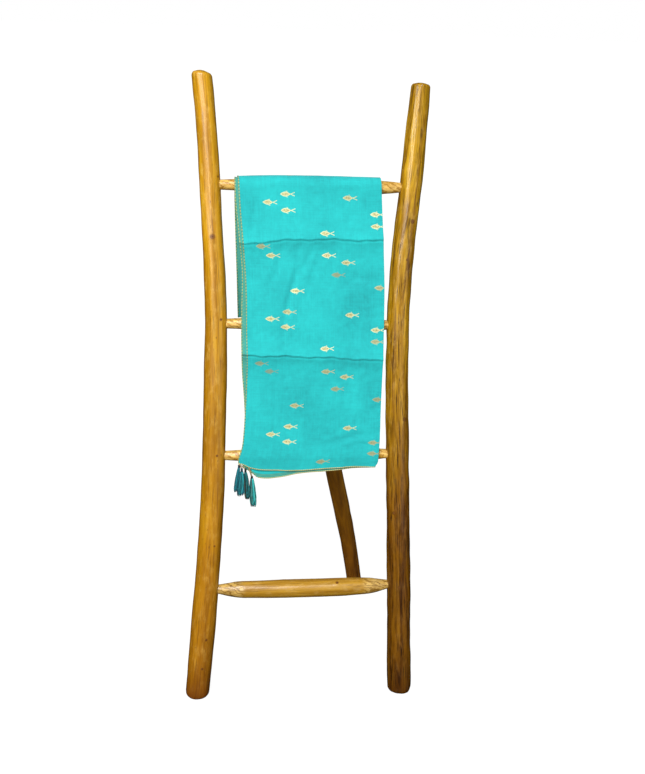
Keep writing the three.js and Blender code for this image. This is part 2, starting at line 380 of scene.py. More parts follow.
# Knife cuts that whittle a rung's end down to its tenon. Each cut is a flat that touches the tapered
# outline at one place, so that together they leave facets; fromTip is the distance from the rung's tip.
def knifeCuts(fromTip, turns, girth, spec, rng):
    body = np.mean(girth[(fromTip > spec["last"]) & (fromTip < spec["last"] + 0.03)]) * 1.02
    mask = np.zeros_like(girth)
    span = spec["last"] - spec["first"]
    for row in range(spec["rows"]):
        for k in range(spec["facets"]):
            share = min((row + 0.5 + rng.uniform(-0.35, 0.35)) / spec["rows"], 0.98)
            touch = spec["first"] + span * share
            bow = 0.45 * share + 0.55 * math.sin(math.pi / 2 * share)
            level = spec["tenon"] + (body - spec["tenon"]) * bow
            slope = (body - spec["tenon"]) / span * (0.45 + 0.86 * math.cos(math.pi / 2 * share))
            facing = 2 * math.pi * (k + 0.5 * (row % 2) + rng.uniform(-0.3, 0.3)) / spec["facets"]
            turned = wrapped(turns[None, :] - facing)
            past = fromTip[:, None] - touch
            flat = level + slope * past + 4 * np.maximum(past, 0) ** 2 - rng.uniform(0, spec["bite"])
            flat = flat / np.maximum(np.cos(turned), 0.3)
            cutting = (np.abs(turned) < 1.1) & (flat < girth) & (fromTip[:, None] > spec["first"] - 0.012)
            mask = np.where(cutting, np.maximum(mask, np.clip((girth - flat) / 0.0004, 0, 1)), mask)
            girth = np.where(cutting, flat, girth)
    return girth, mask


# A whole branch. Its skin, knife cuts and rounded sawn ends are shaped here, and what the material needs
# goes with the mesh: place in the wood, nearest knot, knife work, sawn ends and height along the branch.
def makeBranch(name, spine, radii, spec, material, tips, foot=None):
    lengths = np.concatenate([[0], np.cumsum(np.linalg.norm(np.diff(spine, axis=0), axis=1))])
    low, high = tips  # how far the ends lie past the first and last centre read
    nearEnd = spec["edge"] * np.array([0, 0.04, 0.13, 0.28, 0.5, 0.75])  # rings crowd where an end is rounded
    first, last = -low, lengths[-1] + high
    along = np.linspace(first + spec["edge"], last - spec["edge"], int((last - first) / spec["step"]))
    along = np.concatenate([first + nearEnd, along, last - nearEnd[::-1]])
    inside = np.clip(along, 0, lengths[-1])
    centres = smoothLine(inside, lengths, spine)
    firstWay, lastWay = unit(spine[0] - spine[1]), unit(spine[-1] - spine[-2])
    centres += np.maximum(-along, 0)[:, None] * firstWay
    centres += np.maximum(along - lengths[-1], 0)[:, None] * lastWay
    radius = smoothLine(inside, lengths, radii)
    turns = np.linspace(0, 2 * math.pi, spec["sides"], endpoint=False)
    fromLow = along - along[0]
    toEnd = np.minimum(fromLow, fromLow[-1] - fromLow)
    girth = radius[:, None] + peeledSkin(fromLow, turns, radius, spec)
    carved = np.zeros_like(girth)
    if "cuts" in spec:
        rng = random.Random(spec["seed"])
        girth, lowMask = knifeCuts(fromLow, turns, girth, spec["cuts"], rng)
        girth, highMask = knifeCuts(fromLow[-1] - fromLow, turns, girth, spec["cuts"], rng)
        worked = np.clip((spec["cuts"]["last"] + 0.006 - toEnd) / 0.015, 0, 1)
        carved = np.maximum(np.maximum(lowMask, highMask), 0.8 * worked[:, None])
    edge = spec["edge"]
    rounding = 1 - np.sqrt(np.clip(1 - (1 - np.clip(toEnd / edge, 0, 1)) ** 2, 0, 1))
    wobble = 1 + 0.10 * np.sin(3 * turns + spec["seed"]) + 0.05 * np.sin(5 * turns)
    girth = girth - 0.8 * edge * rounding[:, None] * wobble[None, :]
    points = ringsAlong(centres, girth, turns)
    if foot is not None:  # rings turn level towards the floor
        reach = np.clip(1 - (fromLow if foot == 0 else fromLow[-1] - fromLow) / 0.09, 0, 1)
        points[..., 2] += (centres[:, None, 2] - points[..., 2]) * (reach**0.7)[:, None]
        points[..., 2] = np.maximum(points[..., 2], 0)
    if "slant" in spec:
        reach = np.clip(1 - (fromLow[-1] - fromLow) / 0.04, 0, 1)
        points[..., 2] -= spec["slant"] * (points[..., 0] - centres[:, None, 0]) * (reach**0.8)[:, None]
    deep = np.repeat(fromLow[:, None], len(turns), 1)
    grain = np.stack([girth * np.cos(turns), girth * np.sin(turns), deep + spec["seed"]], -1)
    flat = [0.0 if foot == 0 else spec["dome"], 0.0 if foot == -1 else spec["dome"]]
    inner = [0.15, 0.4, 0.65, 0.87]
    rows = [capRow(points[0], grain[0], share, firstWay * flat[0]) for share in inner]
    rows += list(zip(points, grain))
    rows += [capRow(points[-1], grain[-1], share, lastWay * flat[1]) for share in inner[::-1]]
    count, sides = len(rows), len(turns)
    faces = gridFaces(count, sides, True)
    wide = len(inner)
    rise = np.repeat(np.concatenate([wide * [0.0], fromLow / fromLow[-1], wide * [1.0]]), sides)
    knots = knotOffsets(faces, np.repeat(np.pad(fromLow, wide, "edge"), sides), np.tile(turns, count),
                        np.pad(girth, ((wide, wide), (0, 0)), "edge").ravel(), spec["knots"])
    extra = {
        "grain": ("POINT", np.concatenate([row[1] for row in rows])),
        "carved": ("POINT", np.pad(carved, ((wide, wide), (0, 0))).ravel()),
        "sawn": ("POINT", np.repeat([1.0] * wide + [0.0] * len(along) + [1.0] * wide, sides)),
        "rise": ("POINT", rise),
        "knot": ("CORNER", np.vstack([knots, np.full((2 * sides, 3), 9.0)])),
    }
    return makePiece(name, np.concatenate([row[0] for row in rows]), faces + endFaces(count, sides), material,
                     extra)


# One of the shrinking rings that close an end with a low dome.
def capRow(points, grain, share, way):
    middle, grainMiddle = points.mean(0), grain.mean(0)
    lifted = middle + (points - middle) * share + way * (1 - share**2)
    return lifted, grainMiddle + (grain - grainMiddle) * share


# Varnished wood: streaks along the grain, darker knots, paler knife cuts and rings on the sawn ends. A ramp
# by height along the branch multiplies the colour: painted shade on the posts, darker towards the floor; the
# rear leg is darker towards its foot.
def woodMaterial(name, spec):
    material, tree, shader = newMaterial(name, **{
        "Coat Weight": spec["coat"], "Coat Roughness": spec["coatRough"], "Specular IOR Level": 0.48})
    grain = attribute(tree, "grain")
    streaks = noiseOf(tree, stretch(tree, grain, (1, 1, 0.07)), spec["streakRate"], 5.0, 0.62, 0.8)
    fibres = noiseOf(tree, stretch(tree, grain, (1, 1, 0.03)), 480.0, 3.0, 0.6)
    patches = noiseOf(tree, stretch(tree, grain, (1, 1, 0.35)), 15.0, 4.0, 0.55)
    mottle = noiseOf(tree, stretch(tree, grain, (1, 1, 0.45)), 90.0, 4.0, 0.65)
    colour = ramp(tree, streaks, spec["streaks"])
    blotch = above(tree, patches, 0.45, spec["patchy"])
    colour = mixColour(tree, blotch, colour, spec["patch"])
    pale = above(tree, mottle, 0.52, spec["mottle"])
    colour = mixColour(tree, pale, colour, spec["pale"])
    darker = above(tree, fibres, 0.50, spec["fibre"])
    colour = mixColour(tree, darker, colour, spec["dark"])
    speckle = noiseOf(tree, stretch(tree, grain, (1, 1, 0.3)), 240.0, 2.0)
    flecks = above(tree, speckle, 0.67, 7.0)
    colour = mixColour(tree, flecks, colour, spec["dark"])
    # painted shade by height: the rise ramp darkens the colour low down, its edge made uneven by the patches
    # noise
    uneven = calc(tree, "MULTIPLY_ADD", patches, 0.09, -0.045)
    rise = calc(tree, "ADD", attribute(tree, "rise", "Fac"), uneven)
    colour = mixColour(tree, 1.0, colour, ramp(tree, rise, spec["rise"]), "MULTIPLY")
    carved = attribute(tree, "carved", "Fac")
    shift = calc(tree, "MULTIPLY", mottle, 0.010)
    warped = put(tree, "VectorMath", {0: stretch(tree, grain, (1, 1, 0.5)), 1: shift},
                 operation="ADD").outputs[0]
    strokes = put(tree, "TexWave", {
        "Vector": warped, "Scale": 46.0, "Distortion": 7.0, "Detail": 2.5, "Detail Scale": 1.4,
    }, bands_direction="DIAGONAL").outputs["Fac"]
    facets = put(tree, "TexVoronoi", {"Vector": warped, "Scale": 150.0})
    facetTone = put(tree, "SeparateColor", {"Color": facets.outputs["Color"]}).outputs[0]
    nicks = calc(tree, "MULTIPLY_ADD", strokes, 2.4, 0.05, clamp=True)
    facetCover = calc(tree, "MULTIPLY_ADD", facetTone, 0.7, 0.42, clamp=True)
    nicks = calc(tree, "MULTIPLY", nicks, facetCover, clamp=True)
    freshTone = mixColour(tree, nicks, spec["nick"], spec["fresh"])
    colour = mixColour(tree, calc(tree, "MULTIPLY", carved, spec["carvedCover"]), colour, freshTone)
    fromKnot = put(tree, "VectorMath", {0: attribute(tree, "knot")}, operation="LENGTH").outputs[1]
    fromKnot = calc(tree, "ADD", fromKnot, calc(tree, "MULTIPLY_ADD", mottle, 0.9, -0.45))
    fromKnot = calc(tree, "MULTIPLY", fromKnot, 0.5)
    knotTone = ramp(tree, fromKnot, [
        (0.06, spec["knot"]), (0.16, (0.24, 0.075, 0.012)), (0.24, spec["dark"]), (0.36, spec["patch"])])
    knotCover = ramp(tree, fromKnot, [(0.22, (0.9, 0.9, 0.9)), (0.44, (0, 0, 0))])
    colour = mixColour(tree, knotCover, colour, knotTone)
    rings = put(tree, "TexWave", {
        "Vector": grain, "Scale": 95.0, "Distortion": 2.4, "Detail": 2.0, "Detail Scale": 1.2,
    }, wave_type="RINGS", rings_direction="Z").outputs["Fac"]
    sawn = attribute(tree, "sawn", "Fac")
    sawnTone = mixColour(tree, rings, spec["patch"], spec["pale"])
    colour = mixColour(tree, calc(tree, "MULTIPLY", sawn, 0.7), colour, sawnTone)
    tree.links.new(colour, shader.inputs["Base Color"])
    gloss = calc(tree, "MULTIPLY_ADD", mottle, 0.30, spec["rough"])
    tree.links.new(gloss, shader.inputs["Roughness"])
    height = calc(tree, "MULTIPLY_ADD", fibres, 0.35, calc(tree, "MULTIPLY", streaks, 0.9))
    height = calc(tree, "ADD", height, calc(tree, "MULTIPLY", calc(tree, "MULTIPLY", nicks, carved), 0.5))
    bump = put(tree, "Bump", {"Height": height, "Strength": 0.6, "Distance": 0.0012})
    tree.links.new(bump.outputs["Normal"], shader.inputs["Normal"])
    tree.links.new(bump.outputs["Normal"], shader.inputs["Coat Normal"])
    return material


plain = (1.0, 1.0, 1.0)
goldenWood = dict(
    streakRate=34.0, coat=0.44, coatRough=0.30, rough=0.24, patchy=1.4, fibre=3.0, mottle=2.6,
    carvedCover=0.6,
    streaks=[(0.25, (0.29, 0.110, 0.001)), (0.42, (0.52, 0.240, 0.002)), (0.55, (0.70, 0.355, 0.004)),
             (0.72, (0.84, 0.490, 0.020))],
    patch=(0.36, 0.140, 0.002), pale=(0.92, 0.60, 0.12), dark=(0.17, 0.062, 0.002), fresh=(0.84, 0.52, 0.12),
    nick=(0.24, 0.10, 0.012), knot=(0.035, 0.010, 0.002),
    # rise: painted shade by height up the post, darker towards the floor
    rise=[(0.0, (0.26, 0.12, 0.08)), (0.03, (0.46, 0.33, 0.22)), (0.07, (0.66, 0.55, 0.40)),
          (0.30, (0.74, 0.65, 0.48)), (0.55, (0.82, 0.78, 0.70)), (0.72, (0.94, 0.92, 0.88)), (0.85, plain)],
)
rungWood = dict(goldenWood, rise=[(0.0, plain), (1.0, plain)], carvedCover=0.75, mottle=1.4,
                fresh=(0.95, 0.66, 0.20), nick=(0.36, 0.17, 0.02))
bottomWood = dict(
    rungWood, mottle=1.2, streaks=[(0.25, (0.19, 0.082, 0.003)), (0.42, (0.38, 0.185, 0.010)),
                                   (0.55, (0.53, 0.285, 0.022)), (0.72, (0.70, 0.44, 0.065))],
    patch=(0.28, 0.125, 0.004), pale=(0.82, 0.60, 0.24), fresh=(0.76, 0.52, 0.16), nick=(0.13, 0.052, 0.006),
)
brownWood = dict(
    streakRate=64.0, coat=0.28, coatRough=0.17, rough=0.22, patchy=1.5, fibre=5.5, mottle=2.0,
    carvedCover=0.6,
    streaks=[(0.32, (0.13, 0.052, 0.001)), (0.43, (0.38, 0.185, 0.002)), (0.56, (0.62, 0.345, 0.006)),
             (0.70, (0.82, 0.52, 0.045))],
    patch=(0.20, 0.085, 0.001), pale=(0.80, 0.52, 0.12), dark=(0.045, 0.015, 0.001), fresh=(0.66, 0.42, 0.12),
    nick=(0.20, 0.09, 0.015), knot=(0.13, 0.055, 0.008),
    # rise: painted shade by height up the post, darker towards the floor
    rise=[(0.0, (0.20, 0.12, 0.07)), (0.05, (0.34, 0.24, 0.12)), (0.34, (0.42, 0.30, 0.16)),
          (0.50, (0.86, 0.80, 0.68)), (0.8, plain)],
)
darkWood = dict(
    streakRate=36.0, coat=0.10, coatRough=0.25, rough=0.34,
    patchy=1.4, fibre=1.8, mottle=1.0, carvedCover=0.6,
    streaks=[(0.30, (0.18, 0.068, 0.001)), (0.45, (0.40, 0.170, 0.002)), (0.6, (0.58, 0.265, 0.003)),
             (0.78, (0.75, 0.40, 0.008))],
    patch=(0.18, 0.068, 0.001), pale=(0.55, 0.28, 0.02), dark=(0.06, 0.020, 0.001), fresh=(0.4, 0.2, 0.03),
    nick=(0.12, 0.05, 0.006), knot=(0.03, 0.010, 0.001),
    rise=[(0.0, plain), (0.5, (0.9, 0.85, 0.8)), (1.0, (0.55, 0.4, 0.3))],
)
pegWood = dict(goldenWood, rise=[(0.0, (0.6, 0.5, 0.5)), (1.0, (0.8, 0.75, 0.75))], coat=0.15)

# knots: (distance from the low end, turn round the branch with -90 at the front, size)
leftPost = dict(seed=1, step=0.005, sides=44, edge=0.010, dome=0.004,
                swell=0.0013, lump=0.0007, ridge=0.0008,
                knots=[(1.125, -90, 0.010), (0.937, -118, 0.005), (0.617, -106, 0.005), (0.156, -107, 0.007),
                       (0.395, -112, 0.004), (0.081, -100, 0.006), (1.256, -143, 0.004), (1.30, 60, 0.011),
                       (0.42, 120, 0.012), (0.80, 40, 0.008)], slant=0.20)
rightPost = dict(seed=12, step=0.005, sides=44, edge=0.008, dome=0.003,
                 swell=0.0016, lump=0.0012, ridge=0.0011,
                 knots=[(1.165, -111, 0.008), (1.077, -104, 0.004), (0.70, -120, 0.008), (0.28, -84, 0.007),
                        (0.47, -60, 0.006), (1.02, 70, 0.013), (0.5, 110, 0.010)])
rearLeg = dict(seed=3, step=0.005, sides=40, edge=0.008, dome=0.002,
               swell=0.0012, lump=0.0006, ridge=0.0008,
               boreRadius=0.0156, boreReach=0.07, boreSides=48,
               knots=[(0.5, 80, 0.011), (0.25, -90, 0.010), (0.78, 100, 0.009)])
rung = dict(seed=4, step=0.003, sides=44, edge=0.003, dome=0.001, swell=0.0007, lump=0.0004, ridge=0.0005,
            knots=[(0.3, -80, 0.006), (0.19, 60, 0.007)],
            cuts=dict(rows=5, facets=8, first=0.042, last=0.095, tenon=0.0119, bite=0.0010))
bottomRung = dict(rung, seed=8, knots=[(0.33, -30, 0.006), (0.20, 60, 0.007)],
                  cuts=dict(rows=6, facets=9, first=0.042, last=0.100, tenon=0.0119, bite=0.0012))
peg = dict(seed=20, step=0.002, sides=18, edge=0.0012, dome=0.0006, swell=0.0002, lump=0.0001, ridge=0.0002,
           knots=[], slope=10, radius=0.0035, past=0.0015, inset=0.001)


def finishPiece(piece, body, slot, *nodes):
    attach(piece, body)
    if nodes:
        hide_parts(*nodes)


# The levels a post is read between, from the floor and from its top, and how far its end lies past the last.
postReading = dict(fromFloor=0.045, fromTop=0.03, count=34, pastLast=0.0225)


def makePost(node, name, spec, material, slot):
    reading = postReading
    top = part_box(node)[1].z - reading["fromTop"]
    joints = [middleOf(other).z for other in rungNames]
    levels = clearLevels(reading["fromFloor"], top, reading["count"], joints)
    centres, radii = readBranch(node, 2, levels)
    slope = unit(centres[0] - centres[1])
    sole = centres[0] + slope * (centres[0][2] / -slope[2])
    post = makeBranch(name, np.vstack([sole, centres]), np.hstack([radii[0], radii]), spec, material,
                      (0.0, reading["pastLast"] + spec["dome"]), foot=0)
    finishPiece(post, "ladder", slot, node)


def makeRung(node, name, spec, material):
    low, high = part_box(node)
    room = 0.045
    centres, radii = readBranch(node, 0, np.linspace(low.x + room, high.x - room, 18))
    piece = makeBranch(name, centres, radii, spec, material, (room, room))
    finishPiece(piece, "ladder", "golden_wood", node)


# The leg tapers into a domed head, with a bore through it for the second rung.
def makeRearLeg(material):
    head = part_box("rear_leg")[1].z
    hub = middleOf("second_rung")
    levels = clearLevels(0.03, head - 0.012, 30, [hub.z], 0.024)[::-1]
    centres, radii = readBranch("rear_leg", 2, levels)
    slope = unit(centres[-1] - centres[-2])
    sole = centres[-1] + slope * (centres[-1][2] / -slope[2])
    leg = makeBranch("rearLeg", np.vstack([centres, sole]), np.hstack([radii, radii[-1]]), rearLeg, material,
                     (0.010, 0.0), foot=-1)
    radius, reach, sides = (rearLeg[key] for key in ("boreRadius", "boreReach", "boreSides"))
    boreTurns = np.linspace(0, 2 * math.pi, sides, endpoint=False)
    bore = np.array([[x, hub.y + radius * math.cos(t), hub.z + radius * math.sin(t)]
                     for x in (hub.x - reach, hub.x + reach) for t in boreTurns])
    cutter = makePiece("bore", bore, gridFaces(2, sides, True) + endFaces(2, sides), material)
    boolean = leg.modifiers.new("bore", "BOOLEAN")
    boolean.operation = "DIFFERENCE"
    boolean.solver = "EXACT"
    boolean.object = cutter
    graph = bpy.context.evaluated_depsgraph_get()
    drilled = bpy.data.meshes.new_from_object(leg.evaluated_get(graph), preserve_all_data_layers=True,
                                              depsgraph=graph)
    leg.modifiers.clear()
    leg.data = drilled
    bpy.data.objects.remove(cutter)
    finishPiece(leg, "rear_leg", "dark_wood", "rear_leg")


def makePeg(node, index, material):
    low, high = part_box(node)
    middle = (low + high) / 2
    slope = math.radians(peg["slope"])
    way = np.array([0.0, math.cos(slope), -math.sin(slope)])
    half = (high.y - low.y) / 2 / math.cos(slope) - peg["inset"]
    spine = np.array([np.array(middle) + way * half * t for t in (-1, -0.33, 0.33, 1)])
    piece = makeBranch(node.replace("_p", "P").replace("_", ""), spine, np.full(4, peg["radius"]),
                       dict(peg, seed=peg["seed"] + index), material, (0.0, peg["past"]))
    finishPiece(piece, "ladder", "peg_wood", node)


def makeLadder():
    golden = woodMaterial("goldenWood", goldenWood)
    makePost("left_post", "leftPost", leftPost, golden, "golden_wood")
    makePost("right_post", "rightPost", rightPost, woodMaterial("brownWood", brownWood), "brown_wood")
    rungTone = woodMaterial("rungWood", rungWood)
    bottomTone = woodMaterial("bottomWood", bottomWood)
    # The second rung is smooth, because the rear leg turns on it.
    second = dict(rung, seed=5, swell=0.0002, lump=0.0001, ridge=0.0003)
    for node, name, spec in (("top_rung", "topRung", rung), ("second_rung", "secondRung", second),
                             ("third_rung", "thirdRung", dict(rung, seed=6)),
                             ("bottom_rung", "bottomRung", bottomRung)):
        makeRung(node, name, spec, bottomTone if spec is bottomRung else rungTone)
    makeRearLeg(woodMaterial("darkWood", darkWood))
    pegTone = woodMaterial("pegWood", pegWood)
    pegNodes = [rungName + side for rungName in rungNames for side in ("_left_peg", "_right_peg")]
    for index, node in enumerate(pegNodes):
        makePeg(node, index, pegTone)


makeLadder()
print("ladder ready")

# What a user would change about the folded stole.

stole = dict(
    halfWidth=0.326, layerGap=0.0014, clear=0.0006, halfThick=0.0025,
    # what it hangs over, from the bottom up: the part, and the radius that the cloth meets
    supports=(("third_rung", 0.0150), ("second_rung", 0.0275), ("top_rung", 0.0165)),
    columns=82, foldColumns=5, rows=284, foldRows=7,
    # outline, as (height up the cloth from its hem, place across)
    outerLeft=((-0.01, -0.151), (0.014, -0.151), (0.04, -0.144), (0.09, -0.1385), (0.149, -0.1355),
               (0.257, -0.132), (0.327, -0.1335), (0.43, -0.135), (0.531, -0.142), (0.60, -0.148),
               (0.666, -0.152), (0.74, -0.156), (0.95, -0.152), (1.06, -0.149)),
    innerLeft=((-0.03, -0.103), (0.0, -0.107), (0.008, -0.121), (0.015, -0.134), (0.022, -0.141),
               (0.035, -0.1405), (0.09, -0.136), (0.185, -0.139), (0.222, -0.142), (0.3, -0.1445),
               (0.382, -0.1445), (0.464, -0.1435), (0.56, -0.152), (0.631, -0.159), (0.70, -0.160),
               (0.95, -0.154),
               (1.06, -0.151)),
    fold=((-0.01, 0.171), (0.001, 0.1735), (0.010, 0.1785), (0.028, 0.180), (0.162, 0.182), (0.262, 0.183),
          (0.437, 0.182), (0.558, 0.175), (0.67, 0.169), (1.06, 0.167)),
    # how far the hems lie off level, as (place across, drop)
    outerHem=((-0.155, 0.014), (-0.140, 0.011), (-0.128, 0.0045), (-0.110, -0.0005), (-0.080, -0.003),
              (-0.031, -0.005), (0.069, 0.0), (0.119, 0.003), (0.172, 0.002)),
    innerHem=((-0.125, -0.019), (-0.103, -0.025), (-0.054, -0.024), (-0.007, -0.014), (0.055, -0.009),
              (0.118, -0.002), (0.172, 0.001)),
    # pressed folds across the cloth, as (place across, height), and how far they stand out
    pressed=(dict(line=((-0.16, 0.526), (-0.06, 0.538), (0.018, 0.542), (0.18, 0.540)), rise=0.0105),
             dict(line=((-0.16, 0.276), (0.018, 0.274), (0.18, 0.264)), rise=0.0105),
             dict(line=((-0.16, 0.800), (0.018, 0.797), (0.18, 0.795)), rise=0.0050)),
    # soft wrinkles, as (place across, height) along each, with depth and width
    wrinkles=(dict(line=((-0.016, 0.525), (-0.018, 0.477), (-0.034, 0.416), (-0.044, 0.371), (-0.048, 0.33),
                         (-0.047, 0.272)), depth=0.0026, width=0.0080),
              dict(line=((-0.053, 0.520), (-0.067, 0.464), (-0.085, 0.425)), depth=0.0016, width=0.010),
              dict(line=((0.018, 0.528), (-0.004, 0.479), (-0.020, 0.437)), depth=0.0016, width=0.009),
              dict(line=((0.036, 0.520), (0.018, 0.464), (0.012, 0.43)), depth=0.0012, width=0.010),
              dict(line=((-0.066, 0.222), (-0.067, 0.150), (-0.069, 0.073)), depth=0.0010, width=0.006),
              dict(line=((-0.042, 0.255), (-0.044, 0.190)), depth=0.0010, width=0.006),
              dict(line=((-0.116, 0.62), (-0.121, 0.55)), depth=0.0014, width=0.009),
              dict(line=((0.17, 0.445), (0.12, 0.455), (0.08, 0.43)), depth=0.0012, width=0.010),
              dict(line=((0.178, 0.085), (0.13, 0.080), (0.05, 0.060)), depth=0.0012, width=0.008),
              dict(line=((0.178, 0.055), (0.12, 0.062)), depth=0.0010, width=0.006)),
    foldAbove=0.030, foldBelow=0.018,  # how far a pressed fold fades above and below its line
    relax=0.008, relaxWidth=0.09, topDrop=0.0035, topWidth=0.035,
    ripple=0.0007, ripplePitch=0.011,  # the stitched edge's small ripples
    # printed fish, as (distance from the side fold, height, how bright the foil is: partly wear, partly
    # painted shade, dullest just below the pressed folds)
    fishAt=((0.217, 0.6395, 0.8), (0.258, 0.621, 0.8), (0.2175, 0.6035, 0.85), (0.074, 0.633, 0.65),
            (0.012, 0.597, 0.9), (0.012, 0.570, 0.8), (0.131, 0.5535, 0.8), (0.281, 0.523, 0.35),
            (0.2595, 0.5025, 0.7), (0.1295, 0.504, 0.95), (0.0845, 0.488, 0.65), (0.109, 0.460, 0.22),
            (0.207, 0.423, 0.9),
            (0.0075, 0.431, 0.5), (0.226, 0.375, 0.5), (0.266, 0.359, 0.8), (0.230, 0.3405, 0.7),
            (0.077, 0.368, 0.75), (0.015, 0.333, 0.85), (0.015, 0.306, 0.42), (0.1365, 0.291, 0.95),
            (0.292, 0.255, 0.18), (0.268, 0.236, 0.08), (0.1325, 0.236, 0.45), (0.0865, 0.2225, 0.6),
            (0.108, 0.194, 0.28), (0.2045, 0.1545, 0.5), (0.005, 0.168, 0.3)),
    fishRepeat=(0.326, 0.535), fishLength=0.0345, fishHeight=0.0122,
    selvedge=0.0095,
    # smooth unevenness of the cloth: rate across, rate up, draw, seed and height
    uneven=((11, 7, 0.3, 11, 0.0026), (34, 5, 2.3, 12, 0.0016), (60, 60, 4.1, 13, 0.0009)),
    edging=dict(side=(0.0026, 0.0016), hem=(0.0024, 0.0014)),  # width and depth of the threads
    teal=((0.0045, 0.342, 0.374), (0.0070, 0.465, 0.502), (0.0115, 0.592, 0.622)),
)


# The line the middle of the folded cloth follows, from below the hem up over the top rung and down behind:
# distance along it from the hem, place front to back, height, and which way its outer face looks.
def drapePath(spec):
    circles = []
    for node, radius in spec["supports"]:
        low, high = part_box(node)
        grown = radius + spec["clear"] + spec["halfThick"]
        circles.append(((low.y + high.y) / 2, (low.z + high.z) / 2, grown))
    turns = [0.0]
    for (y0, z0, r0), (y1, z1, r1) in zip(circles, circles[1:]):
        run = math.hypot(y1 - y0, z1 - z0)
        lean = math.atan2(y1 - y0, z1 - z0)
        turns.append(lean - math.asin((r1 - r0) / run))
    turns.append(math.pi)
    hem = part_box("stole_cloth")[0].z
    backLine = circles[-1][0] + circles[-1][2]
    backFold = section("stole_cloth", 1, backLine)[0][2]
    spare = 0.06
    y, z, facing = [circles[0][0] - circles[0][2]], [hem - spare], [0.0]
    for (cy, cz, r), first, last in zip(circles, turns, turns[1:]):
        for turn in np.linspace(first, last, 2 + int(abs(last - first) / 0.05)):
            y.append(cy - r * math.cos(turn))
            z.append(cz + r * math.sin(turn))
            facing.append(turn)
    y.append(backLine)
    z.append(backFold)
    facing.append(math.pi)
    along = np.concatenate([[0], np.cumsum(np.hypot(np.diff(y), np.diff(z)))]) - spare
    return along, np.array(y), np.array(z), np.array(facing)


# Distance from a point to a line of points, and how far along the line its nearest place is (0 to 1).
def nearLine(x, u, line):
    best = np.full(x.shape, 1e9)
    share = np.zeros(x.shape)
    lengths = [math.dist(p, q) for p, q in zip(line, line[1:])]
    done = 0.0
    for (x0, u0), (x1, u1), length in zip(line, line[1:], lengths):
        t = np.clip(((x - x0) * (x1 - x0) + (u - u0) * (u1 - u0)) / length**2, 0, 1)
        distance = np.hypot(x - x0 - t * (x1 - x0), u - u0 - t * (u1 - u0))
        share = np.where(distance < best, (done + t * length) / sum(lengths), share)
        best = np.minimum(best, distance)
        done += length
    return best, share


# Smooth noise over the cloth.
def clothNoise(x, u, rateAcross, rateUp, draw, seed):
    values = [noiseAt(px * rateAcross, pu * rateUp, draw, seed) for px, pu in zip(x.ravel(), u.ravel())]
    return np.array(values).reshape(x.shape)


# How far the whole cloth stands out from its taut line: pressed folds, wrinkles and slack.
def clothRelief(x, u, path, spec):
    boxes = [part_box(support[0]) for support in spec["supports"]]
    topAt = float(np.interp(math.pi / 2, path[3], path[0]))
    rising = slice(0, 12)  # the path's first points, where its height only grows
    headAt = float(np.interp((boxes[1][0].z + boxes[1][1].z) / 2, path[2][rising], path[0][rising]))
    onTop = np.exp(-((u - topAt) / spec["topWidth"]) ** 2)
    slack = np.zeros_like(x)
    for shift in (-0.02, 0.0, 0.02):
        slack += np.interp(u + shift, (0.04, headAt, topAt - 0.03), (0, 1, 0)) / 3
    relief = -spec["relax"] * slack * (1 - np.exp(-(x / spec["relaxWidth"]) ** 2))
    for fold in spec["pressed"]:
        across, height = zip(*fold["line"])
        off = u - np.interp(x, across, height)
        off = off + 0.0014 * np.sin(x * 61 + 1) + 0.0008 * np.sin(x * 173)
        sharp = np.where(off > 0, np.exp(-np.abs(off) / spec["foldAbove"]),
                         np.exp(-np.abs(off) / spec["foldBelow"]))
        relief += fold["rise"] * (sharp - 0.14 * np.exp(-((off + 0.0038) / 0.0029) ** 2))
    for wrinkle in spec["wrinkles"]:
        distance, share = nearLine(x, u, wrinkle["line"])
        depth = 2.1 * wrinkle["depth"] * np.sin(np.pi * np.clip(0.12 + share * 0.8, 0, 1))
        relief -= depth * (np.exp(-(distance / wrinkle["width"]) ** 2)
                           - 0.45 * np.exp(-(distance / (2.4 * wrinkle["width"])) ** 2))
    soft, long, crumple = (clothNoise(x, u, *row[:4]) for row in spec["uneven"])
    heights = [row[4] for row in spec["uneven"]]
    bumps = heights[0] * soft + heights[1] * long + heights[2] * crumple
    relief += bumps * (1 - 0.85 * onTop) + 0.0018 * onTop
    edge = np.exp(-np.clip(x + 0.140, 0, None) / 0.014)
    lowEdge = np.exp(-((u - 0.09) / 0.05) ** 2)
    relief += spec["ripple"] * edge * lowEdge * np.sin(u * 2 * np.pi / spec["ripplePitch"] + 6 * soft)
    relief -= spec["topDrop"] * onTop * np.clip((-x - 0.06) / 0.09, 0, 1) ** 1.5
    relief -= 0.0012 * onTop * np.clip((x - 0.08) / 0.08, 0, 1)
    resting = np.exp(-((u - 0.027) / 0.02) ** 2)
    return np.where(relief < 0, relief * (1 - 0.9 * resting), relief)


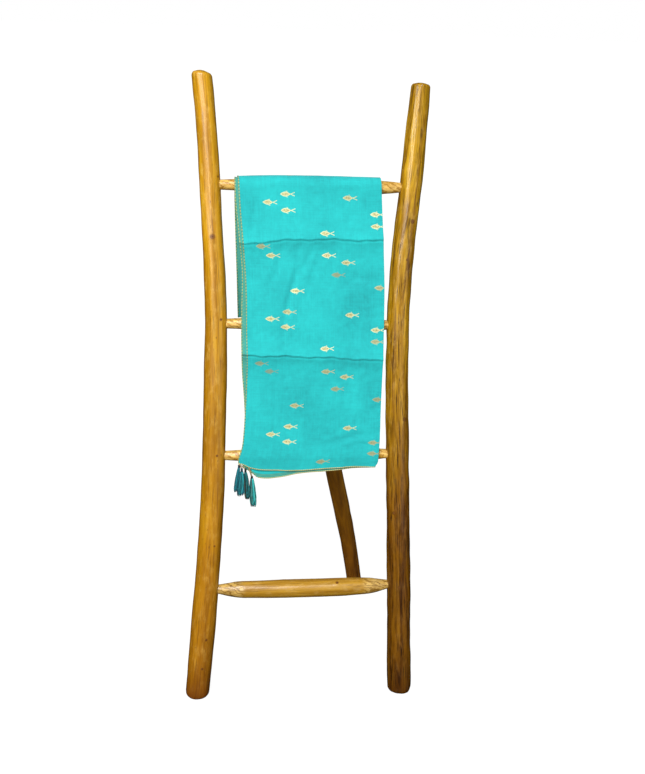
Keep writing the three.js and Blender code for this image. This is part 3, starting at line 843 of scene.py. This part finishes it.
# Every point of the sheet, as rows up the cloth by columns across it, with its place on the flat sheet.
def layCloth(path, spec):
    half, gap = spec["halfWidth"], spec["layerGap"]
    length = path[0][-1]
    columns, foldColumns = spec["columns"], spec["foldColumns"]
    rows, foldRows = spec["rows"], spec["foldRows"]
    across = np.linspace(1, 0, columns + 1)  # share of the way from the side fold to the open edge
    side = np.concatenate([across, np.zeros(foldColumns), across[::-1]])
    turn = np.concatenate([np.zeros(columns + 1), np.linspace(0, np.pi, foldColumns + 2)[1:-1],
                           np.full(columns + 1, np.pi)])
    flatA = np.concatenate([half * (1 - across), np.full(foldColumns, half), half * (1 + across[::-1])])
    even = np.linspace(0, length, 2000)  # rows lie closer together near the pressed folds
    crowding = 1 + sum(2.4 * np.exp(-((even - fold["line"][1][1]) / 0.016) ** 2) for fold in spec["pressed"])
    crowding = np.concatenate([[0], np.cumsum(crowding[1:])])
    up = np.interp(np.linspace(0, crowding[-1], rows + 1), crowding, even)
    height = np.concatenate([up, np.full(foldRows, length), up[::-1]])
    roll = np.concatenate([np.zeros(rows + 1), np.linspace(0, np.pi, foldRows + 2)[1:-1],
                           np.full(rows + 1, np.pi)])
    flatB = np.concatenate([up, np.full(foldRows, length), 2 * length - up[::-1]])
    share, face = side[None, :], (1 + np.cos(turn))[None, :] / 2
    u = np.repeat(height[:, None], len(side), 1)
    layer = np.cos(roll)[:, None]
    outer = (1 + layer) / 2
    lowered = np.clip(1 - u / 0.16, 0, 1) ** 1.5
    leftOuter = smoothLine(height, *zip(*spec["outerLeft"]))[:, None]
    leftInner = smoothLine(height, *zip(*spec["innerLeft"]))[:, None]
    right = smoothLine(height, *zip(*spec["fold"]))[:, None]
    left = outer * leftOuter + (1 - outer) * leftInner
    x = right + (left - right) * share + gap / 2 * np.sin(turn)[None, :]
    x += 0.0012 * (1 - face) * share**6 * outer  # the under layer's edge shows a little less
    shiftOuter = smoothLine(x.ravel(), *zip(*spec["outerHem"])).reshape(x.shape)
    shiftInner = smoothLine(x.ravel(), *zip(*spec["innerHem"])).reshape(x.shape)
    u = u + lowered * (outer * shiftOuter + (1 - outer) * shiftInner)
    spread = gap * (1 + 1.1 * np.exp(-np.clip(u + 0.02, 0, None) / 0.03) * share)
    offset = layer * (0.5 * spread + face * spread)
    below = np.sin(roll)[:, None] * (0.5 * gap + face * gap)
    relief = clothRelief(x, u, path, spec)
    facing = np.interp(u, path[0], path[3])
    y = np.interp(u, path[0], path[1])
    z = np.interp(u, path[0], path[2]) - below
    low = u < path[0][0]
    z = np.where(low, path[2][0] + u - path[0][0], z)
    out = offset + relief
    points = np.stack([x, y - out * np.cos(facing), z + out * np.sin(facing)], -1)
    flat = np.stack([np.repeat(flatA[None, :], len(height), 0), np.repeat(flatB[:, None], len(side), 1)], -1)
    return points, flat


# For each face, the offset of its corners from the nearest printed fish, and how bright that fish's foil is.
def fishOffsets(faces, flat, spec):
    corners = flat[np.asarray(faces)]
    centre = corners.mean(1)
    nearest = np.full(len(faces), 1e9)
    offsets = np.tile((1.0, 1.0, 0.0), (len(faces), 4, 1))
    repeatA, repeatB = spec["fishRepeat"]
    margin = 0.6 * spec["fishLength"]
    for fromFold, height, shine in spec["fishAt"]:
        da = (centre[:, 0] - (spec["halfWidth"] - fromFold) + repeatA / 2) % repeatA - repeatA / 2
        db = (centre[:, 1] - height + repeatB / 2) % repeatB - repeatB / 2
        middle = centre[:, 0] - da
        distance = np.hypot(da, 1.8 * db)
        middleB = centre[:, 1] - db
        nearFold = np.abs(middle - spec["halfWidth"]) < 0.03
        # foil near the hem and near the side fold is dulled further
        dulled = np.where((middleB < 0.03) | ((middleB < 0.08) & nearFold), 0.42, 1.0) * shine
        closer = (distance < nearest) & (middle > margin) & (middle < 2 * spec["halfWidth"] - margin)
        nearest = np.where(closer, distance, nearest)
        local = np.concatenate([
            corners - centre[:, None, :] + np.stack([da, db], -1)[:, None, :],
            np.repeat(dulled[:, None, None], 4, 1)], -1)
        offsets[closer] = local[closer]
    return offsets.reshape(-1, 3)


# How far inside the outline of a printed fish a point lies. The fish is a leaf-shaped body, a forked tail
# and fins.
def fishShape(tree, offset, spec):
    along = calc(tree, "DIVIDE", offset.outputs[0], spec["fishLength"] / 2)
    high = calc(tree, "DIVIDE", calc(tree, "ABSOLUTE", offset.outputs[1]), spec["fishHeight"] / 2)
    body = calc(tree, "POWER", calc(tree, "ABSOLUTE", calc(tree, "MULTIPLY_ADD", along, 1.36, 0.36)), 1.9)
    body = calc(tree, "SUBTRACT", calc(tree, "SUBTRACT", 0.95, body), high)
    split = calc(tree, "MULTIPLY_ADD", along, -1.15, 0.48)
    tail = calc(tree, "SUBTRACT", 0.22, calc(tree, "ABSOLUTE", calc(tree, "ADD", high, split)))
    inTail = calc(tree, "MULTIPLY", calc(tree, "GREATER_THAN", along, 0.36),
                  calc(tree, "LESS_THAN", along, 0.98))
    tail = calc(tree, "SUBTRACT", tail, calc(tree, "MULTIPLY_ADD", inTail, -2.0, 2.0))
    fin = calc(tree, "SUBTRACT", 0.17, calc(tree, "ABSOLUTE", calc(tree, "ADD", along, 0.06)))
    fin = calc(tree, "SUBTRACT", fin, calc(tree, "ABSOLUTE", calc(tree, "MULTIPLY_ADD", high, 0.5, -0.5)))
    return calc(tree, "MAXIMUM", calc(tree, "MAXIMUM", body, tail), fin), body


# Woven cotton with slubby threads, a striped green band on the under layer's edges that is partly a selvedge
# and partly painted shade, and a fish print in gold foil whose brightness is partly wear and partly painted
# shade.
def cottonMaterial(spec, length):
    material, tree, shader = newMaterial("printedCotton", **{"Sheen Weight": 0.08, "Sheen Roughness": 0.5})
    flat = attribute(tree, "flat")
    slubAcross = noiseOf(tree, stretch(tree, flat, (14, 900, 1)), 1.0, 2.0, 0.6)
    slubUp = noiseOf(tree, stretch(tree, flat, (900, 14, 1)), 1.0, 2.0, 0.6)
    uneven = noiseOf(tree, flat, 9.0, 3.0, 0.55)
    thread = calc(tree, "ADD", slubAcross, slubUp)
    mottle = noiseOf(tree, flat, 85.0, 4.0, 0.7)
    uneven = calc(tree, "MULTIPLY_ADD", calc(tree, "SUBTRACT", mottle, 0.5), 0.6, uneven)
    tone = calc(tree, "MULTIPLY_ADD", uneven, 0.55, calc(tree, "MULTIPLY", thread, 0.30))
    colour = ramp(tree, tone, [(0.34, spec["teal"][0]), (0.50, spec["teal"][1]), (0.72, spec["teal"][2])])
    place = put(tree, "SeparateXYZ", {"Vector": flat})
    toFarSide = calc(tree, "SUBTRACT", 2 * spec["halfWidth"], place.outputs[0])
    toSide = calc(tree, "MINIMUM", place.outputs[0], toFarSide)
    toHem = calc(tree, "SUBTRACT", 2 * length, place.outputs[1])
    toEdge = calc(tree, "MINIMUM", toSide, toHem)
    # the under layer's edges get a striped green band: partly a selvedge, partly painted shade where that
    # layer lies behind the outer one
    underneath = calc(tree, "GREATER_THAN", place.outputs[1], length)
    frayed = noiseOf(tree, flat, 260.0, 3.0, 0.6)
    shadedSelvedge = calc(tree, "MULTIPLY_ADD", frayed, 0.004, spec["selvedge"] - 0.002)
    shadedSelvedge = calc(tree, "SUBTRACT", shadedSelvedge, toEdge)
    shadedSelvedge = calc(tree, "MULTIPLY", calc(tree, "MULTIPLY", shadedSelvedge, 700.0, clamp=True), underneath)
    inward = put(tree, "CombineXYZ", {"X": toEdge}).outputs[0]
    stripe = put(tree, "TexWave", {"Vector": inward, "Scale": 110.0, "Distortion": 1.5},
                 bands_direction="X").outputs["Fac"]
    shadedSelvedgeTone = ramp(tree, calc(tree, "MULTIPLY_ADD", stripe, 0.5, calc(tree, "MULTIPLY", frayed, 0.6)), [
        (0.30, (0.012, 0.26, 0.25)), (0.60, (0.05, 0.38, 0.31)), (0.90, (0.26, 0.44, 0.22))])
    colour = mixColour(tree, calc(tree, "MULTIPLY", shadedSelvedge, 0.8), colour, shadedSelvedgeTone)
    offset = put(tree, "SeparateXYZ", {"Vector": attribute(tree, "fish")})
    shape, body = fishShape(tree, offset, spec)
    shine = offset.outputs[2]
    worn = noiseOf(tree, flat, 800.0, 2.0, 0.6)
    shape = calc(tree, "ADD", shape, calc(tree, "MULTIPLY_ADD", worn, 0.60, -0.32))
    printed = calc(tree, "MULTIPLY", shape, 7.0, clamp=True)
    scales = put(tree, "TexVoronoi", {"Vector": flat, "Scale": 420.0}).outputs["Distance"]
    inside = above(tree, body, 0.34, 6.0)
    scales = calc(tree, "MULTIPLY_ADD", scales, 2.2, -0.35, clamp=True)
    core = calc(tree, "MULTIPLY", inside, scales, clamp=True)
    # the foil's brightness for each fish is partly wear and partly painted shade
    foil = ramp(tree, shine, [
        (0.0, (0.20, 0.30, 0.24)), (0.25, (0.42, 0.38, 0.16)), (0.45, (0.66, 0.58, 0.26)),
        (0.8, (0.84, 0.84, 0.46)), (1.0, (0.92, 0.93, 0.58))])
    foil = mixColour(tree, calc(tree, "MULTIPLY", core, 0.75), foil, (0.36, 0.28, 0.09))
    cover = calc(tree, "MULTIPLY", printed, calc(tree, "MULTIPLY_ADD", shine, 0.35, 0.66, clamp=True))
    colour = mixColour(tree, cover, colour, foil)
    tree.links.new(colour, shader.inputs["Base Color"])
    tree.links.new(calc(tree, "MULTIPLY", cover, 0.12), shader.inputs["Metallic"])
    tree.links.new(calc(tree, "MULTIPLY_ADD", cover, -0.34, 0.84), shader.inputs["Roughness"])
    warp = put(tree, "TexWave", {"Vector": flat, "Scale": 640.0}, bands_direction="X").outputs["Fac"]
    weft = put(tree, "TexWave", {"Vector": flat, "Scale": 640.0}, bands_direction="Y").outputs["Fac"]
    weave = calc(tree, "MULTIPLY_ADD", warp, 0.5, calc(tree, "MULTIPLY", weft, 0.5))
    height = calc(tree, "ADD", weave, calc(tree, "MULTIPLY", thread, 0.9))
    bump = put(tree, "Bump", {"Height": height, "Strength": 0.35, "Distance": 0.0004})
    tree.links.new(bump.outputs["Normal"], shader.inputs["Normal"])
    return material


# Twisted thread with some metal in it, for the edges and the cords.
def threadMaterial(name, light, dark, twist, metal=0.35):
    material, tree, shader = newMaterial(name, Metallic=metal, Roughness=0.5)
    strand = attribute(tree, "strand")
    bands = put(tree, "TexWave", {"Vector": strand, "Scale": twist, "Distortion": 0.6},
                bands_direction="DIAGONAL")
    fuzz = noiseOf(tree, strand, 900.0, 2.0)
    tone = calc(tree, "MULTIPLY_ADD", bands.outputs["Fac"], 0.6, calc(tree, "MULTIPLY", fuzz, 0.5))
    tree.links.new(ramp(tree, tone, [(0.2, dark), (0.75, light)]), shader.inputs["Base Color"])
    bump = put(tree, "Bump", {"Height": tone, "Strength": 0.6, "Distance": 0.0004})
    tree.links.new(bump.outputs["Normal"], shader.inputs["Normal"])
    return material


# Rings of points along a line, each square to it: how far its points lie to the side and outwards.
def squareRings(centres, outward, sideways, outwards):
    tangent = unit(np.gradient(centres, axis=0))
    side = unit(np.cross(tangent, outward))
    out = np.cross(side, tangent)
    return (centres[:, None, :] + sideways[..., None] * side[:, None, :]
            + outwards[..., None] * out[:, None, :]).reshape(-1, 3)


# A round or flat thread along a line: width across the cloth, depth through it.
def makeThread(line, width, depth, outward, sides=8, lump=0.12, pitch=0.0028):
    line = np.asarray(line, float)
    steps = np.concatenate([[0], np.cumsum(np.linalg.norm(np.diff(line, axis=0), axis=1))])
    along = np.arange(0, steps[-1], pitch / 3)
    centres = np.stack([np.interp(along, steps, line[:, k]) for k in range(3)], -1)
    outward = np.stack([np.interp(along, steps, np.asarray(outward)[:, k]) for k in range(3)], -1)
    turns = np.linspace(0, 2 * math.pi, sides, endpoint=False)
    swell = 1 + lump * np.cos(2 * math.pi * along[:, None] / pitch - turns[None, :])
    ends = np.clip(np.minimum(along, along[-1] - along) / (width / 2), 0.15, 1) ** 0.5
    swell = swell * ends[:, None]
    points = squareRings(centres, outward, width / 2 * np.cos(turns) * swell,
                         depth / 2 * np.sin(turns) * swell)
    count = len(along)
    faces = gridFaces(count, sides, True) + endFaces(count, sides)
    strand = np.stack([np.repeat(along[:, None], sides, 1), np.repeat(turns[None, :] * width / 6, count, 0),
                       np.zeros((count, sides))], -1)
    return points, faces, strand.reshape(-1, 3)


# Several threads joined in one piece.
def bundle(name, parts, material):
    points, faces, strands, base = [], [], [], 0
    for part, partFaces, strand in parts:
        faces += [tuple(base + i for i in face) for face in partFaces]
        points.append(part)
        strands.append(strand)
        base += len(part)
    extra = {"strand": ("POINT", np.concatenate(strands))}
    return makePiece(name, np.concatenate(points), faces, material, extra)


def makeStole():
    path = drapePath(stole)
    points, flat = layCloth(path, stole)
    rows, columns = points.shape[:2]
    faces = gridFaces(rows, columns, False)
    flatPoints = flat.reshape(-1, 2)
    extra = {
        "flat": ("POINT", np.hstack([flatPoints, np.zeros((len(flatPoints), 1))])),
        "fish": ("CORNER", fishOffsets(faces, flatPoints, stole)),
    }
    cloth = makePiece("stoleCloth", points.reshape(-1, 3), faces,
                      cottonMaterial(stole, float(path[0][-1])), extra)
    finishPiece(cloth, "stole", "printed_cotton", "stole_cloth")
    gold = threadMaterial("goldThread", (0.70, 0.66, 0.30), (0.17, 0.22, 0.09), 130.0, metal=0.15)
    stitched = threadMaterial("sideThread", (0.42, 0.50, 0.20), (0.02, 0.30, 0.27), 90.0, metal=0.1)
    normal = unit(np.cross(np.gradient(points, axis=1), np.gradient(points, axis=0)))
    sides = [makeThread(points[:, k], *stole["edging"]["side"], normal[:, k]) for k in (0, -1)]
    hems = [makeThread(points[k], *stole["edging"]["hem"], normal[k]) for k in (0, -1)]
    sideEdging = bundle("sideEdging", sides, stitched)
    hemEdging = bundle("hemEdging", hems, gold)
    finishPiece(sideEdging, "stole", "gold_edging", "side_edging")
    finishPiece(hemEdging, "stole", "gold_edging", "hem_edging")
    return points


clothPoints = makeStole()
print("stole ready")

# lean: how far the top and the tip stand to the right of the plain tassel
# tones: dark, middle, light and odd thread
tassels = [
    dict(lift=-0.0005, lean=(0.0074, 0.0004), length=0.0565, width=0.0056, odd=0.02,
         tones=((0.002, 0.030, 0.060), (0.006, 0.130, 0.180), (0.015, 0.300, 0.380), (0.01, 0.10, 0.30))),
    dict(lift=0.006, lean=(0.0020, -0.0016), length=0.0520, width=0.0088, odd=0.02,
         tones=((0.003, 0.050, 0.080), (0.010, 0.200, 0.270), (0.035, 0.480, 0.540), (0.01, 0.12, 0.30))),
    dict(lift=0.007, lean=(-0.0010, 0.0040), length=0.0600, width=0.0070, odd=0.16,
         tones=((0.002, 0.020, 0.024), (0.006, 0.105, 0.120), (0.020, 0.300, 0.330), (0.34, 0.19, 0.04))),
    dict(lift=-0.003, lean=(0.0003, 0.0042), length=0.0690, width=0.0082, odd=0.13,
         tones=((0.001, 0.012, 0.014), (0.006, 0.140, 0.170), (0.055, 0.700, 0.690), (0.12, 0.05, 0.02))),
]
tasselThread = dict(
    strands=92, radius=0.00060, sides=5, steps=14, wave=0.0010, seed=31,
    windings=15, wrap=0.00056, knotShare=0.38,  # the wound head: its turns, thread and share that is the knot
    innerAt=12,  # rows from the inner hem up to where the inner corner's cord starts
    cordWidths=(0.0030, 0.0040),  # cords from the outer and from the inner corner
)


# Loose spun thread, one tone to a strand, shaded along its length.
def skirtMaterial(name, tones):
    material, tree, shader = newMaterial(name, Roughness=0.55, **{
        "Sheen Weight": 0.1, "Specular IOR Level": 0.3})
    strand = attribute(tree, "strand")
    fuzz = noiseOf(tree, stretch(tree, strand, (1, 1, 0)), 420.0, 3.0, 0.6)
    tone = put(tree, "SeparateXYZ", {"Vector": strand}).outputs[2]
    mixed = calc(tree, "MULTIPLY_ADD", fuzz, 0.35, calc(tree, "MULTIPLY", tone, 0.65))
    colour = ramp(tree, mixed, [(0.22, tones[0]), (0.42, tones[1]), (0.64, tones[2])])
    colour = mixColour(tree, calc(tree, "GREATER_THAN", tone, 1.2), colour, tones[3])
    tree.links.new(colour, shader.inputs["Base Color"])
    ply = put(tree, "TexWave", {"Vector": strand, "Scale": 320.0, "Distortion": 1.0},
              bands_direction="DIAGONAL")
    bump = put(tree, "Bump", {"Height": ply.outputs["Fac"], "Strength": 0.5, "Distance": 0.0003})
    tree.links.new(bump.outputs["Normal"], shader.inputs["Normal"])
    return material


# A tied head: one thread wound into a small knot and then down a neck.
def tiedHead(top, neck, spec):
    turns, knotShare = spec["windings"], spec["knotShare"]
    along = np.linspace(0, 1, turns * 20)
    onKnot = np.clip(along / knotShare, 0, 1)
    knotRadius = 0.0008 + 0.0018 * np.sin(math.pi * np.clip(onKnot, 0.03, 0.93)) ** 0.8
    radius = np.where(along < knotShare, knotRadius, 0.0019 + 0.0004 * np.sin(along * 40))
    angle = along * turns * 2 * math.pi
    middle = top[None, :] + (neck - top)[None, :] * along[:, None]
    line = middle + np.stack([radius * np.cos(angle), radius * np.sin(angle), np.zeros_like(angle)], -1)
    outward = np.stack([np.cos(angle), np.sin(angle), np.zeros_like(angle)], -1)
    return makeThread(line, 2 * spec["wrap"], 2 * spec["wrap"], outward, sides=6, pitch=0.0016)


# A skirt of loose strands that spread from the neck and hang a little unevenly; strands near its middle get
# darker tones, painted shade inside the skirt.
def looseSkirt(neck, tip, tassel, spec, rng):
    parts = []
    t = np.linspace(0, 1, spec["steps"])
    spreadAt = np.interp(t, (0, 0.10, 0.40, 0.8, 1.0), (0.34, 0.56, 0.94, 1.0, 0.74))
    for k in range(spec["strands"]):
        turn = k * 2.39996
        place = math.sqrt((k + 0.5) / spec["strands"])
        length = 1 + rng.uniform(-0.09, 0.05)
        bend = rng.uniform(-1, 1) * spec["wave"]
        phase = rng.uniform(0, 6.28)
        wave = spec["wave"] * np.sin(t * rng.uniform(5, 9) + phase) * t
        line = neck[None, :] + (tip - neck)[None, :] * (t * length)[:, None]
        line[:, 0] += tassel["width"] * place * math.cos(turn) * spreadAt + wave + bend * t**2
        line[:, 1] += 0.62 * tassel["width"] * place * math.sin(turn) * spreadAt + 0.6 * wave
        outward = np.tile((0.0, -1.0, 0.0), (len(t), 1))
        points, faces, strand = makeStrand(line, outward, spec)
        # strands near the middle of the skirt draw darker tones: painted shade
        tone = 1.5 if rng.random() < tassel["odd"] else rng.random() * (0.5 + 0.5 * place)
        strand[:, 2] = tone
        parts.append((points, faces, strand))
    return parts


# One thin strand with as many rings as its line has points.
def makeStrand(line, outward, spec):
    turns = np.linspace(0, 2 * math.pi, spec["sides"], endpoint=False)
    thick = np.full(len(line), spec["radius"])
    thick[-1] *= 0.45
    points = squareRings(line, outward, thick[:, None] * np.cos(turns), thick[:, None] * np.sin(turns))
    count, sides = len(line), spec["sides"]
    faces = gridFaces(count, sides, True) + endFaces(count, sides)
    along = np.concatenate([[0], np.cumsum(np.linalg.norm(np.diff(line, axis=0), axis=1))])
    strand = np.stack([np.repeat(along, sides), np.tile(turns * 0.0006, count), np.zeros(count * sides)], -1)
    return points, faces, strand


# A slack cord from the cloth to a tassel.
def cordTo(start, end, droop, width):
    t = np.linspace(0, 1, 12)[:, None]
    line = start[None, :] * (1 - t) + end[None, :] * t
    line[:, 2] -= droop * np.sin(math.pi * t[:, 0])
    outward = np.tile((0.0, -1.0, 0.0), (len(t), 1))
    return makeThread(line, width, width, outward, sides=6, lump=0.22, pitch=0.0034)


def makeTassels(corners):
    rng = random.Random(tasselThread["seed"])
    cords = []
    for number, tassel in enumerate(tassels, 1):
        name = "tassel_%d" % number
        low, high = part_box(name + "_binding")
        middle = (low + high) / 2
        topLean, tipLean = tassel["lean"]
        top = np.array([middle.x + topLean, middle.y, high.z + tassel["lift"]])
        neck = np.array([middle.x + topLean * 0.9, middle.y, low.z])
        tip = np.array([middle.x + tipLean, middle.y, low.z - tassel["length"]])
        tones = skirtMaterial("tassel%dThread" % number, tassel["tones"])
        start = neck + (top - neck) * 0.55
        head = bundle("tassel%dHead" % number, [tiedHead(top, start, tasselThread)], tones)
        finishPiece(head, name, "teal_thread", name + "_binding")
        skirt = bundle("tassel%dSkirt" % number, looseSkirt(start, tip, tassel, tasselThread, rng), tones)
        finishPiece(skirt, name, "teal_thread", name + "_skirt")
        which = 0 if number < 4 else 1
        end = top + np.array([0, 0, -0.001])
        cords.append(cordTo(corners[which], end, 0.0006, tasselThread["cordWidths"][which]))
    brown = threadMaterial("cordThread", (0.64, 0.56, 0.32), (0.16, 0.10, 0.04), 150.0)
    ties = bundle("tasselCords", cords, brown)
    finishPiece(ties, "stole", "gold_edging")


# Tassels 1, 2 and 3 are tied to the outer corner, and 4 to the inner one.
makeTassels((clothPoints[0, 0], clothPoints[-1 - tasselThread["innerAt"], 0]))
print("tassels ready")
